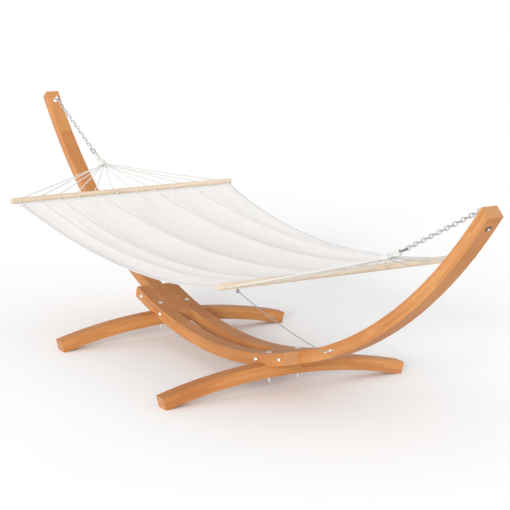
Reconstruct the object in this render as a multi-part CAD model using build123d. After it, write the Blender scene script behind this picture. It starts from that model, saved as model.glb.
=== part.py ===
from build123d import *

import os
from math import asin, atan2, cos, degrees, radians, sin, sqrt, tan

# Hammock with spreader bars, hung by two chains from an arched timber stand.
# Millimetres. X runs along the hammock, Y across it, Z up. The origin is on the
# floor, under the middle of the stand. "Front" is +X, "rear" is -X, "left" is -Y.
# The front half is modelled, and the rear half is its mirror image.

# --- timber -----------------------------------------------------------------
BEAM_WIDTH = 72.0          # every beam, measured along Y
BEAM_DEPTH = 56.0          # every beam, measured along the radius of the arc
ARC_OUTER_RADIUS = 2674.0  # underside of the arms and rails
ARC_INNER_RADIUS = ARC_OUTER_RADIUS - BEAM_DEPTH
ARC_MID_RADIUS = ARC_OUTER_RADIUS - BEAM_DEPTH / 2
ARC_LOW_Z = 65.0           # underside of the rails at mid length
ARC_CENTRE_Z = ARC_LOW_Z + ARC_OUTER_RADIUS
ARM_TOP_ANGLE = 50.0       # angles are from straight down, about the arc's centre
ARM_FOOT_ANGLE = 9.35
RAIL_END_ANGLE = 16.1
EDGE_BEVEL = 2.5

FOOT_X = 542.0             # centreline of each cross foot
FOOT_WIDTH = 68.0
FOOT_DEPTH = 59.0
FOOT_ARCH = 76.0           # clear height under the middle of a foot
FOOT_HALF_SPAN = 596.0
FOOT_TRIM = 4.0            # sawn off the tips to make the two level pads
FOOT_INNER_RADIUS = (FOOT_HALF_SPAN**2 + (FOOT_ARCH + FOOT_TRIM) ** 2) / (2 * (FOOT_ARCH + FOOT_TRIM))
FOOT_OUTER_RADIUS = FOOT_INNER_RADIUS + FOOT_DEPTH
SEAT_Z = 132.0             # level seat where the three beams lie on a foot
RAIL_Y = BEAM_WIDTH        # centreline of each rail, touching the arms between them

# --- bolts ------------------------------------------------------------------
BOLT_RADIUS = 5.0
BOLT_HOLE_RADIUS = 5.25
THREAD_CLEARANCE = 0.05
HEAD_RADIUS = 10.5
HEAD_HEIGHT = 5.5
SOCKET_FLATS = 6.0
SOCKET_DEPTH = 3.5
NUT_FLATS = 17.0
NUT_HEIGHT = 8.0
WASHER_RADIUS = 12.0
WASHER_THICKNESS = 2.0
SPOTFACE_RADIUS = 13.0
SIDE_BOLT_X = (476.0, 681.0)
FOOT_BOLT_X = 536.0
FOOT_BOLT_TOP_Z = 175.0    # level seat of the head, cut into the sloping rail
FOOT_BOLT_NUT_Z = 76.5     # level seat of the lower washer, cut into the foot
FOOT_BOLT_END_Z = 44.0

# --- eye bolts at the arm tops ----------------------------------------------
EYE_ANGLE = 48.65
EYE_RING_RADIUS = 10.0     # centreline of the eye
EYE_WIRE_RADIUS = 3.5
EYE_STANDOFF = 26.0        # inner face of the arm to the centre of the eye
EYE_NUT_RECESS_RADIUS = 15.0
EYE_NUT_RECESS_DEPTH = 9.0
EYE_THREAD_PROUD = 3.0

# --- chain, snap hook and ring ----------------------------------------------
CHAIN_LINKS = 18
LINK_LENGTH = 33.0         # centreline, end to end
LINK_WIDTH = 15.0          # centreline
LINK_WIRE_RADIUS = 2.25
GAP = 0.3                  # between metal parts that hang in each other
HOOK_LENGTH = 46.0
HOOK_WIDTH = 19.0
HOOK_WIRE_RADIUS = 2.5
GATE_RADIUS = 1.75
GATE_LENGTH = 19.0
GATE_BARREL_RADIUS = 2.4
GATE_BARREL_WIDTH = 3.2
PIN_RADIUS = 0.9
PIN_LENGTH = 8.0
EAR_THICKNESS = 1.2
RING_RADIUS = 11.0
RING_WIRE_RADIUS = 2.25
CHAIN_SAG = 14.0           # how far the ring hangs below a straight line from eye to bar

# --- clew, bars and bed -----------------------------------------------------
BAR_X = 1087.0
BAR_Z = 641.0
BAR_RADIUS = 14.5
BAR_LENGTH = 1234.0
BAR_END_ROUND = 4.0
NECK_LENGTH = 122.0
NECK_TOP_OVERLAP = 10.0    # how far the neck reaches into the ring
CORD_COUNT = 12
CORD_RADIUS = 3.0
CORD_FAN_PITCH = 3.3       # between cords where they leave the neck
CORD_FAN_LAYER = 3.2       # the cords leave the neck in two layers
CORD_FAN_STAGGER = 1.7     # each cord leaves that much higher than its inner neighbour
CORD_PITCH = 106.0         # between cords along the bar
CORD_HOLE_RADIUS = 3.6     # level holes through the middle of the bar
CORD_MOUTH = 3.5           # a cord turns into its hole that far in front of the bar
TIE_BEND_RADIUS = 5.0
KNOT_RADIUS = 6.0
KNOT_LIFT = 2.2            # clear of the eyelet's flange

BED_THICKNESS = 2.4
BED_HALF_LENGTH = 1067.0
BED_END_Z = 636.0          # middle of the cloth at its two ends
BED_LOW_Z = 512.0          # middle of the cloth at mid length
BED_END_HALF_WIDTH = 597.0
BED_WAIST_HALF_WIDTH = 545.0
EYELET_INSET = 16.0
EYELET_BORE_RADIUS = 4.5
EYELET_TUBE_RADIUS = 6.5
EYELET_FLANGE_RADIUS = 8.5
EYELET_FLANGE = 0.6

# --- tethers ----------------------------------------------------------------
TETHER_EYE_X = 1012.0
BAR_EYE_Y = 529.0
BAR_EYE_RING_RADIUS = 5.5
BAR_EYE_WIRE_RADIUS = 1.8
BAR_EYE_DROP = 10.5        # underside of the bar to the centre of its eye
ARM_EYE_RING_RADIUS = 6.0
ARM_EYE_WIRE_RADIUS = 2.0
ARM_EYE_STANDOFF = 10.0
SCREW_DEPTH = 22.0
BAR_SCREW_DEPTH = 14.0
TETHER_RADIUS = 2.0
TETHER_HOOK_LENGTH = 36.0
TETHER_HOOK_WIDTH = 12.0
TETHER_HOOK_WIRE_RADIUS = 1.75
TETHER_HOOK_OPENING = 9.0
TETHER_HOOK_DROOP = 7.0    # degrees below level
# The front left tether, from the eye under the bar to the hook on the arm.
TETHER_ROUTE = [
    (1086, -524, 613),
    (1079, -481, 576),
    (1072, -437, 540),
    (1064, -393, 505),
    (1057, -349, 471),
    (1049, -305, 438),
    (1042, -261, 406),
    (1034, -217, 376),
    (1027, -173, 347),
    (1019, -129, 319),
    (1012, -84, 292),
]

ACROSS = Vector(0, 1, 0)


def arc_point(radius, angle, y=0.0):
    """A point on the stand's big arc."""
    a = radians(angle)
    return Vector(radius * sin(a), y, ARC_CENTRE_Z - radius * cos(a))


def arc_height(radius, x):
    """Height of the arc of that radius above the floor, at x."""
    return ARC_CENTRE_Z - sqrt(radius**2 - x**2)


EYE_CENTRE = arc_point(ARC_INNER_RADIUS - EYE_STANDOFF, EYE_ANGLE)
BAR_CENTRE = Vector(BAR_X, 0, BAR_Z)
LINK_PITCH = LINK_LENGTH - 2 * LINK_WIRE_RADIUS - GAP
CHAIN_START = EYE_RING_RADIUS - EYE_WIRE_RADIUS - LINK_WIRE_RADIUS - GAP
CHAIN_END = CHAIN_START + (CHAIN_LINKS - 1) * LINK_PITCH + LINK_LENGTH
HOOK_START = CHAIN_END - LINK_WIRE_RADIUS - HOOK_WIRE_RADIUS - GAP
HOOK_END = HOOK_START + HOOK_LENGTH
RING_START = HOOK_END - HOOK_WIRE_RADIUS - RING_WIRE_RADIUS - GAP
RING_CENTRE = RING_START + RING_RADIUS
RING_END = RING_START + 2 * RING_RADIUS
NECK_START = RING_END - NECK_TOP_OVERLAP
NECK_END = NECK_START + NECK_LENGTH

STRAIGHT_ANGLE = atan2(EYE_CENTRE.Z - BAR_Z, EYE_CENTRE.X - BAR_X)
HANG_ANGLE = STRAIGHT_ANGLE + asin(CHAIN_SAG / RING_CENTRE)  # slope of the chain
DOWN_LINE = Vector(-cos(HANG_ANGLE), 0, -sin(HANG_ANGLE))  # from the eye to the ring
LINE_NORMAL = Vector(-sin(HANG_ANGLE), 0, cos(HANG_ANGLE))
RING_POINT = EYE_CENTRE + DOWN_LINE * RING_CENTRE
CLEW_ANGLE = atan2(RING_POINT.Z - BAR_Z, RING_POINT.X - BAR_X)
CLEW_LINE = Vector(-cos(CLEW_ANGLE), 0, -sin(CLEW_ANGLE))  # from the ring to the bar
CLEW_NORMAL = Vector(-sin(CLEW_ANGLE), 0, cos(CLEW_ANGLE))


def on_line(distance, across=0.0, normal=0.0):
    """A point beside the chain, at that distance from the eye."""
    return EYE_CENTRE + DOWN_LINE * distance + ACROSS * across + LINE_NORMAL * normal


def on_clew(distance, across=0.0, normal=0.0):
    """A point beside the line from the ring to the bar. The distance counts on from the chain's."""
    return RING_POINT + CLEW_LINE * (distance - RING_CENTRE) + ACROSS * across + CLEW_NORMAL * normal


def placed(shape, origin, z_dir, x_dir=None):
    """The shape, moved so that its own Z axis lies along z_dir at the origin given."""
    return Plane(origin=origin, x_dir=x_dir, z_dir=z_dir).location * shape


def rear(shape):
    """The mirror image at the rear end."""
    return mirror(shape, about=Plane.YZ)


def both_sides(shape):
    """The left-hand shape and its mirror image on the right."""
    return [shape, mirror(shape, about=Plane.XZ)]


def group(shapes):
    """Separate solids kept together in one file."""
    solids = []
    for shape in shapes:
        solids.extend(shape.solids())
    return Compound(children=solids)


# --- timber -----------------------------------------------------------------


def arc_beam(start, end, y_middle, foot_ends):
    """A beam bent to the big arc between two angles, housed over the feet at the ends given."""
    y = y_middle - BEAM_WIDTH / 2
    middle = (start + end) / 2
    outline = [
        ThreePointArc(*[arc_point(ARC_OUTER_RADIUS, a, y) for a in (start, middle, end)]),
        Line(arc_point(ARC_OUTER_RADIUS, end, y), arc_point(ARC_INNER_RADIUS, end, y)),
        ThreePointArc(*[arc_point(ARC_INNER_RADIUS, a, y) for a in (end, middle, start)]),
        Line(arc_point(ARC_INNER_RADIUS, start, y), arc_point(ARC_OUTER_RADIUS, start, y)),
    ]
    beam = extrude(make_face(outline), amount=BEAM_WIDTH, dir=(0, 1, 0))
    for sign in foot_ends:
        beam -= foot_seat_cut(sign * FOOT_X)
    return bevel_long_edges(beam)


def bevel_long_edges(beam):
    """Takes the sharpness off the edges that run the length of a bent beam."""
    long_edges = [e for e in beam.edges().filter_by(GeomType.CIRCLE) if e.radius > 1000]
    return chamfer(long_edges, EDGE_BEVEL)


def foot_seat_cut(x):
    """The housing cut out of a beam where it sits down over a foot."""
    height = 100.0
    return Pos(x, 0, SEAT_Z - height / 2) * Box(FOOT_WIDTH, 4 * BEAM_WIDTH, height)


def bore(origin, direction, radius, length):
    """A round hole, centred on the origin given."""
    return placed(Cylinder(radius, length), origin, direction)


def side_bolt_bores(sign):
    """The two cross holes of one arm joint."""
    cuts = []
    for x in SIDE_BOLT_X:
        z = arc_height(ARC_MID_RADIUS, x)
        cuts.append(bore((sign * x, 0, z), ACROSS, BOLT_HOLE_RADIUS, 4 * BEAM_WIDTH))
    return cuts


def foot_bolt_bores(sign, y):
    """The upright hole through a rail and a foot, with its two level seats."""
    x = sign * FOOT_BOLT_X
    deep = 60.0
    hole = Pos(x, y, (FOOT_BOLT_TOP_Z + FOOT_BOLT_NUT_Z) / 2) * Cylinder(BOLT_HOLE_RADIUS, 2 * deep)
    top = Pos(x, y, FOOT_BOLT_TOP_Z + deep / 2) * Cylinder(SPOTFACE_RADIUS, deep)
    bottom = Pos(x, y, FOOT_BOLT_NUT_Z - deep / 2) * Cylinder(SPOTFACE_RADIUS, deep)
    return [hole, top, bottom]


def make_rail(sign):
    """One of the two middle beams, which hold both arms between them."""
    y = sign * RAIL_Y
    rail = arc_beam(-RAIL_END_ANGLE, RAIL_END_ANGLE, y, (1, -1))
    for end in (1, -1):
        rail -= side_bolt_bores(end)
        rail -= foot_bolt_bores(end, y)[:2]
    return rail


def tether_eye_bore(side):
    """Pilot hole of a screw eye in the side of the arm."""
    z = arc_height(ARC_MID_RADIUS, TETHER_EYE_X)
    y = side * (BEAM_WIDTH / 2 - SCREW_DEPTH / 2)
    return bore((TETHER_EYE_X, y, z), ACROSS, ARM_EYE_WIRE_RADIUS, SCREW_DEPTH)


def make_arm():
    """The front arm, with its bolt holes and the recess for the eye bolt's nut."""
    arm = arc_beam(ARM_FOOT_ANGLE, ARM_TOP_ANGLE, 0, (1,))
    arm -= side_bolt_bores(1)
    outward = arc_point(1, EYE_ANGLE) - arc_point(0, EYE_ANGLE)
    arm -= bore(arc_point(ARC_MID_RADIUS, EYE_ANGLE), outward, BOLT_HOLE_RADIUS, 2 * BEAM_DEPTH)
    recess_length = 2 * EYE_NUT_RECESS_DEPTH
    arm -= bore(arc_point(ARC_OUTER_RADIUS, EYE_ANGLE), outward, EYE_NUT_RECESS_RADIUS, recess_length)
    for side in (-1, 1):
        arm -= tether_eye_bore(side)
    return arm


def foot_point(radius, y):
    """A point on a foot's arch, in the plane of its rear face."""
    centre_z = FOOT_ARCH - FOOT_INNER_RADIUS
    return Vector(FOOT_X - FOOT_WIDTH / 2, y, centre_z + sqrt(radius**2 - y**2))


def make_foot():
    """The front cross foot: an arch, level under its tips and where the beams lie."""
    inner_y = FOOT_HALF_SPAN
    outer_y = FOOT_HALF_SPAN * FOOT_OUTER_RADIUS / FOOT_INNER_RADIUS
    outline = [
        ThreePointArc(*[foot_point(FOOT_OUTER_RADIUS, y) for y in (-outer_y, 0, outer_y)]),
        Line(foot_point(FOOT_OUTER_RADIUS, outer_y), foot_point(FOOT_INNER_RADIUS, inner_y)),
        ThreePointArc(*[foot_point(FOOT_INNER_RADIUS, y) for y in (inner_y, 0, -inner_y)]),
        Line(foot_point(FOOT_INNER_RADIUS, -inner_y), foot_point(FOOT_OUTER_RADIUS, -outer_y)),
    ]
    foot = extrude(make_face(outline), amount=FOOT_WIDTH, dir=(1, 0, 0))
    foot = bevel_long_edges(foot)
    depth = 50.0
    foot -= Pos(FOOT_X, 0, -depth / 2) * Box(2 * FOOT_WIDTH, 3 * FOOT_HALF_SPAN, depth)
    foot -= Pos(FOOT_X, 0, SEAT_Z + depth / 2) * Box(2 * FOOT_WIDTH, 3 * BEAM_WIDTH, depth)
    for side in (-1, 1):
        foot -= foot_bolt_bores(1, side * RAIL_Y)[::2]
    return foot


# --- fasteners --------------------------------------------------------------


def dome_bolt(length):
    """Round-headed bolt with a hexagon socket. The head stands on Z = 0 and the shank goes down."""
    tip = 1.0
    dome = ThreePointArc(
        (HEAD_RADIUS, 0, 0),
        (HEAD_RADIUS * 0.72, 0, HEAD_HEIGHT * 0.68),
        (0, 0, HEAD_HEIGHT),
    )
    shank = Polyline(
        (0, 0, HEAD_HEIGHT),
        (0, 0, -length),
        (BOLT_RADIUS - tip, 0, -length),
        (BOLT_RADIUS, 0, tip - length),
        (BOLT_RADIUS, 0, 0),
        (HEAD_RADIUS, 0, 0),
    )
    bolt = revolve(make_face([dome, *shank.edges()]), axis=Axis.Z)
    socket = extrude(RegularPolygon(SOCKET_FLATS / 2, 6, major_radius=False), amount=2 * SOCKET_DEPTH)
    return bolt - Pos(0, 0, HEAD_HEIGHT - SOCKET_DEPTH) * socket


def hex_nut(flats, height, bore_radius):
    """A nut standing on Z = 0, with its corners turned off."""
    body = extrude(RegularPolygon(flats / 2, 6, major_radius=False), amount=height)
    corner = flats / 2 / cos(radians(30))
    turned = Pos(0, 0, height / 2) * Cylinder(corner, height)
    body &= chamfer(turned.edges().filter_by(GeomType.CIRCLE), 1.0)
    return body - Pos(0, 0, height / 2) * Cylinder(bore_radius, 2 * height)


def washer():
    """A washer standing on Z = 0."""
    ring = Cylinder(WASHER_RADIUS, WASHER_THICKNESS) - Cylinder(BOLT_HOLE_RADIUS, 2 * WASHER_THICKNESS)
    return Pos(0, 0, WASHER_THICKNESS / 2) * ring


def bolt_nut():
    """The nut that fits the bolts of the stand."""
    return hex_nut(NUT_FLATS, NUT_HEIGHT, BOLT_RADIUS + THREAD_CLEARANCE)


def side_fasteners():
    """The cross bolts of both arm joints, with their washers and nuts."""
    bolts, washers, nuts = [], [], []
    face = RAIL_Y + BEAM_WIDTH / 2
    length = 2 * face + WASHER_THICKNESS + NUT_HEIGHT + 3
    for x in (*SIDE_BOLT_X, *[-x for x in SIDE_BOLT_X]):
        z = arc_height(ARC_MID_RADIUS, x)
        bolts.append(placed(dome_bolt(length), (x, -face, z), (0, -1, 0)))
        washers.append(placed(washer(), (x, face, z), ACROSS))
        nuts.append(placed(bolt_nut(), (x, face + WASHER_THICKNESS, z), ACROSS))
    return group(bolts), group(washers), group(nuts)


def foot_fasteners():
    """The upright bolts that hold the rails down on the feet."""
    bolts, washers, nuts = [], [], []
    top = FOOT_BOLT_TOP_Z + WASHER_THICKNESS
    for x in (FOOT_BOLT_X, -FOOT_BOLT_X):
        for y in (-RAIL_Y, RAIL_Y):
            bolts.append(Pos(x, y, top) * dome_bolt(top - FOOT_BOLT_END_Z))
            washers.append(Pos(x, y, FOOT_BOLT_TOP_Z) * washer())
            washers.append(Pos(x, y, FOOT_BOLT_NUT_Z - WASHER_THICKNESS) * washer())
            nuts.append(Pos(x, y, FOOT_BOLT_NUT_Z - WASHER_THICKNESS - NUT_HEIGHT) * bolt_nut())
    return group(bolts), group(washers), group(nuts)


def eye_bolt_parts():
    """The front eye bolt through the arm top, its two washers and its nut."""
    outward = arc_point(1, EYE_ANGLE) - arc_point(0, EYE_ANGLE)
    nut_seat = EYE_STANDOFF + BEAM_DEPTH - EYE_NUT_RECESS_DEPTH
    end = nut_seat + WASHER_THICKNESS + NUT_HEIGHT + EYE_THREAD_PROUD
    start = EYE_RING_RADIUS
    ring = Rot(90, 0, 0) * Torus(EYE_RING_RADIUS, EYE_WIRE_RADIUS)
    shank = Pos(0, 0, (start + end) / 2) * Cylinder(BOLT_RADIUS, end - start)
    shank -= Rot(90, 0, 0) * Cylinder(EYE_RING_RADIUS, 2 * BOLT_RADIUS + 2)
    eye = placed(ring + shank, EYE_CENTRE, outward, DOWN_LINE)
    inner = EYE_CENTRE + outward * (EYE_STANDOFF - WASHER_THICKNESS - THREAD_CLEARANCE)
    outer = EYE_CENTRE + outward * nut_seat
    washers = [placed(washer(), inner, outward), placed(washer(), outer, outward)]
    nut = placed(bolt_nut(), outer + outward * WASHER_THICKNESS, outward)
    return eye, washers, nut


# --- chain, snap hook and ring ----------------------------------------------


def wire_loop(length, width, wire_radius):
    """A closed oval of round wire. It starts at X = 0, runs along X and lies in XY."""
    bend = width / 2
    straight = length - width
    rod = Circle(wire_radius)
    sides = [
        Pos(bend + straight / 2, y, 0) * Rot(0, 90, 0) * Cylinder(wire_radius, straight)
        for y in (-bend, bend)
    ]
    section = Plane(origin=(0, bend, 0), x_dir=(0, 1, 0), z_dir=(1, 0, 0)) * rod
    turn = revolve(section, axis=Axis.Z, revolution_arc=180)
    start = Pos(bend, 0, 0) * turn
    finish = Pos(length - bend, 0, 0) * Rot(0, 0, 180) * turn
    return start + sides + finish


def on_line_frame(shape, distance, upright):
    """Places a wire loop along the chain's line, lying flat or standing upright."""
    normal = ACROSS if upright else LINE_NORMAL
    return placed(shape, on_line(distance), normal, DOWN_LINE)


def make_chain():
    """The front chain: separate links, each turned a quarter from the last."""
    link = wire_loop(LINK_LENGTH, LINK_WIDTH, LINK_WIRE_RADIUS)
    links = []
    for i in range(CHAIN_LINKS):
        links.append(on_line_frame(link, CHAIN_START + i * LINK_PITCH, i % 2 == 1))
    return group(links)


GATE_PIN_ALONG = HOOK_LENGTH / 2 + GATE_LENGTH / 2  # from the hook's start, along it
GATE_ACROSS = HOOK_WIDTH / 2


def make_snap_hook():
    """The oval hook, open on one side for its gate, with two ears for the gate's pin."""
    hook = wire_loop(HOOK_LENGTH, HOOK_WIDTH, HOOK_WIRE_RADIUS)
    opening_start = GATE_PIN_ALONG - GATE_LENGTH - 1.0
    opening_end = GATE_PIN_ALONG + GATE_BARREL_RADIUS + GAP
    middle = (opening_start + opening_end) / 2
    width = opening_end - opening_start
    hook -= Pos(middle, GATE_ACROSS, 0) * Box(width, 3 * HOOK_WIRE_RADIUS, 3 * HOOK_WIRE_RADIUS)
    ear_length = GATE_BARREL_RADIUS + 2.0
    for side in (-1, 1):
        z = side * (GATE_BARREL_WIDTH / 2 + GAP + EAR_THICKNESS / 2)
        disc = Pos(GATE_PIN_ALONG, GATE_ACROSS, z) * Cylinder(GATE_BARREL_RADIUS, EAR_THICKNESS)
        strap = Pos(GATE_PIN_ALONG + ear_length / 2, GATE_ACROSS, z) * Box(
            ear_length, 2 * GATE_BARREL_RADIUS, EAR_THICKNESS
        )
        hook += disc + strap
    hook -= Pos(GATE_PIN_ALONG, GATE_ACROSS, 0) * Cylinder(PIN_RADIUS, PIN_LENGTH)
    return on_line_frame(hook, HOOK_START, False)


def make_gate():
    """The sprung gate of the snap hook, closed."""
    rod_length = GATE_LENGTH - GATE_BARREL_RADIUS / 2
    rod_middle = GATE_PIN_ALONG - GATE_LENGTH + rod_length / 2
    gate = Pos(rod_middle, GATE_ACROSS, 0) * Rot(0, 90, 0) * Cylinder(GATE_RADIUS, rod_length)
    slot = Box(2 * GATE_BARREL_RADIUS + 2, 4 * GATE_RADIUS, 2 * GATE_RADIUS)
    for side in (-1, 1):
        z = side * (GATE_BARREL_WIDTH / 2 + GATE_RADIUS)
        gate -= Pos(GATE_PIN_ALONG - GATE_BARREL_RADIUS, GATE_ACROSS, z) * slot
    gate += Pos(GATE_PIN_ALONG, GATE_ACROSS, 0) * Cylinder(GATE_BARREL_RADIUS, GATE_BARREL_WIDTH)
    gate -= Pos(GATE_PIN_ALONG, GATE_ACROSS, 0) * Cylinder(PIN_RADIUS + GAP, PIN_LENGTH)
    return on_line_frame(gate, HOOK_START, False)


def make_gate_pin():
    """The rivet that the gate turns on."""
    pin = Pos(GATE_PIN_ALONG, GATE_ACROSS, 0) * Cylinder(PIN_RADIUS, PIN_LENGTH)
    return on_line_frame(pin, HOOK_START, False)


def make_ring():
    """The round ring between the snap hook and the cords."""
    return placed(Torus(RING_RADIUS, RING_WIRE_RADIUS), on_line(RING_CENTRE), ACROSS)


# --- clew -------------------------------------------------------------------


def neck_loft(sections, grow=0.0):
    """A smooth tapering body of oval sections: (distance from the eye, half width, half depth)."""
    ovals = []
    for distance, half_width, half_depth in sections:
        plane = Plane(origin=on_clew(distance), x_dir=ACROSS, z_dir=CLEW_LINE)
        ovals.append(plane * Ellipse(half_width + grow, half_depth + grow))
    return loft(ovals)


NECK_SECTIONS = [
    (NECK_START, 7.0, 4.5),
    (NECK_START + 15, 9.0, 8.0),
    (NECK_START + 60, 13.0, 9.5),
    (NECK_END, 22.0, 10.5),
]
BINDING_SECTIONS = [
    (NECK_END - 52, 16.2, 9.9),
    (NECK_END - 14, 20.4, 10.4),
]


def make_neck():
    """The gathered bundle of cords that goes round the ring."""
    groove = placed(Torus(RING_RADIUS, RING_WIRE_RADIUS + GAP), on_line(RING_CENTRE), ACROSS)
    return neck_loft(NECK_SECTIONS) - groove


def make_binding():
    """The whipping round the lower end of the bundle."""
    return neck_loft(BINDING_SECTIONS, grow=3.0) - neck_loft(NECK_SECTIONS)


def cord_y(index):
    """Where along the bar a cord ends."""
    return (index - (CORD_COUNT - 1) / 2) * CORD_PITCH


HOLE_MOUTH = BAR_CENTRE + Vector(BAR_RADIUS + CORD_MOUTH, 0, 0)


def make_clew_cords(neck):
    """Straight tight cords from the neck to the holes in the front bar."""
    depth = 100.0
    beyond = Pos(HOLE_MOUTH.X - depth / 2, 0, BAR_Z) * Box(depth, 2 * BAR_LENGTH, depth)
    overrun = 8.0
    cords = []
    for i in range(CORD_COUNT):
        from_middle = i - (CORD_COUNT - 1) / 2
        layer = CORD_FAN_LAYER if i % 2 else -CORD_FAN_LAYER
        start = on_clew(NECK_END - CORD_FAN_STAGGER * abs(from_middle), CORD_FAN_PITCH * from_middle, layer)
        run = HOLE_MOUTH + ACROSS * cord_y(i) - start
        full = placed(Cylinder(CORD_RADIUS, run.length + 2 * overrun), start + run / 2, run)
        cord = full - neck - beyond
        cords.append(cord.solids().sort_by(SortBy.VOLUME)[-1])
        print("clew cord", i, "length", round(run.length, 1))
    return cords


def make_bar():
    """The round wooden spreader bar, with a hole for each cord and pilot holes for its screw eyes."""
    bar = placed(Cylinder(BAR_RADIUS, BAR_LENGTH), BAR_CENTRE, ACROSS)
    bar = fillet(bar.edges().filter_by(GeomType.CIRCLE), BAR_END_ROUND)
    for side in (-1, 1):
        z = BAR_Z - BAR_RADIUS + BAR_SCREW_DEPTH / 2
        bar -= Pos(BAR_X, side * BAR_EYE_Y, z) * Cylinder(BAR_EYE_WIRE_RADIUS, BAR_SCREW_DEPTH)
    for i in range(CORD_COUNT):
        bar -= bore(BAR_CENTRE + ACROSS * cord_y(i), (1, 0, 0), CORD_HOLE_RADIUS, 3 * BAR_RADIUS)
    return bar


# --- bed --------------------------------------------------------------------


def bed_height(x):
    """Height of the middle of the cloth at x."""
    return BED_LOW_Z + (BED_END_Z - BED_LOW_Z) * (x / BED_HALF_LENGTH) ** 2


BED_SLOPE = atan2(2 * (BED_END_Z - BED_LOW_Z), BED_HALF_LENGTH)
EYELET_X = BED_HALF_LENGTH - EYELET_INSET
EYELET_POINT = Vector(EYELET_X, 0, bed_height(EYELET_X))
EYELET_AXIS = Vector(-sin(BED_SLOPE), 0, cos(BED_SLOPE))


def bed_line(offset):
    """The hanging curve of the cloth, moved up or down by the offset."""
    xs = [BED_HALF_LENGTH * f for f in (-1, -0.75, -0.5, -0.25, 0, 0.25, 0.5, 0.75, 1)]
    return Spline(*[(x, -BED_END_HALF_WIDTH, bed_height(x) + offset) for x in xs])


def make_bed():
    """The cloth: it sags between the bars and is narrower at its waist."""
    upper = bed_line(BED_THICKNESS / 2)
    lower = bed_line(-BED_THICKNESS / 2)
    outline = [upper, Line(upper @ 1, lower @ 1), lower, Line(lower @ 0, upper @ 0)]
    cloth = extrude(make_face(outline), amount=2 * BED_END_HALF_WIDTH, dir=(0, 1, 0))
    half, end, waist = BED_HALF_LENGTH + 1, BED_END_HALF_WIDTH, BED_WAIST_HALF_WIDTH
    plan = [
        ThreePointArc((-half, -end), (0, -waist), (half, -end)),
        Line((half, -end), (half, end)),
        ThreePointArc((half, end), (0, waist), (-half, end)),
        Line((-half, end), (-half, -end)),
    ]
    cloth &= extrude(make_face(plan), amount=BED_END_Z + 100)
    holes = []
    for i in range(CORD_COUNT):
        point = EYELET_POINT + ACROSS * cord_y(i)
        hole = placed(Cylinder(EYELET_TUBE_RADIUS, 8 * BED_THICKNESS), point, EYELET_AXIS)
        holes.extend([hole, rear(hole)])
    return cloth - holes


def make_eyelets():
    """The metal eyelets along the front end of the cloth."""
    thickness = BED_THICKNESS + 2 * EYELET_FLANGE + 0.2
    eyelet = Cylinder(EYELET_TUBE_RADIUS, thickness)
    for side in (-1, 1):
        z = side * (thickness - EYELET_FLANGE) / 2
        eyelet += Pos(0, 0, z) * Cylinder(EYELET_FLANGE_RADIUS, EYELET_FLANGE)
    eyelet -= Cylinder(EYELET_BORE_RADIUS, 2 * thickness)
    eyelets = []
    for i in range(CORD_COUNT):
        point = EYELET_POINT + ACROSS * cord_y(i)
        eyelets.append(placed(eyelet, point, EYELET_AXIS))
    return group(eyelets)


def tie_path():
    """The line of a cord through the front bar, over the hem and down through an eyelet, at y = 0."""
    rise = (BAR_Z - EYELET_POINT.Z) / EYELET_AXIS.Z
    above = EYELET_POINT + EYELET_AXIS * rise
    end = EYELET_POINT - EYELET_AXIS * (KNOT_LIFT + KNOT_RADIUS)
    return FilletPolyline(HOLE_MOUTH, above, end, radius=TIE_BEND_RADIUS)


def make_ties():
    """The end of each clew cord, through the front bar to its knot under the cloth."""
    path = tie_path()
    section = Plane(origin=path @ 0, z_dir=path % 0) * Circle(CORD_RADIUS)
    cord = sweep(section, path=path)
    print("tie volume", round(cord.volume, 1), "section by length", round(section.area * path.length, 1))
    knot = placed(Sphere(KNOT_RADIUS), EYELET_POINT - EYELET_AXIS * (KNOT_RADIUS + KNOT_LIFT), EYELET_AXIS)
    tie = cord + knot
    return group([Pos(0, cord_y(i), 0) * tie for i in range(CORD_COUNT)])


# --- tethers ----------------------------------------------------------------


def screw_eye(ring_radius, wire_radius, standoff, depth):
    """A screw eye at the origin, its ring in YZ and its shank along +Z."""
    ring = Rot(0, 90, 0) * Torus(ring_radius, wire_radius)
    start = ring_radius
    end = standoff + depth
    shank = Pos(0, 0, (start + end) / 2) * Cylinder(wire_radius, end - start)
    collar = Pos(0, 0, standoff - 0.5) * Cylinder(1.8 * wire_radius, 1.0)
    return ring + shank + collar


def make_bar_eyes():
    """The screw eyes under the front bar."""
    eye = screw_eye(BAR_EYE_RING_RADIUS, BAR_EYE_WIRE_RADIUS, BAR_EYE_DROP, BAR_SCREW_DEPTH)
    centre = (BAR_X, -BAR_EYE_Y, BAR_Z - BAR_RADIUS - BAR_EYE_DROP)
    return both_sides(Pos(*centre) * eye)


def arm_eye_centre():
    """Centre of the screw eye on the left side of the front arm."""
    z = arc_height(ARC_MID_RADIUS, TETHER_EYE_X)
    return Vector(TETHER_EYE_X, -BEAM_WIDTH / 2 - ARM_EYE_STANDOFF, z)


def make_arm_eyes():
    """The screw eyes on both sides of the front arm."""
    eye = screw_eye(ARM_EYE_RING_RADIUS, ARM_EYE_WIRE_RADIUS, ARM_EYE_STANDOFF, SCREW_DEPTH)
    return both_sides(placed(eye, arm_eye_centre(), ACROSS, (1, 0, 0)))


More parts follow.
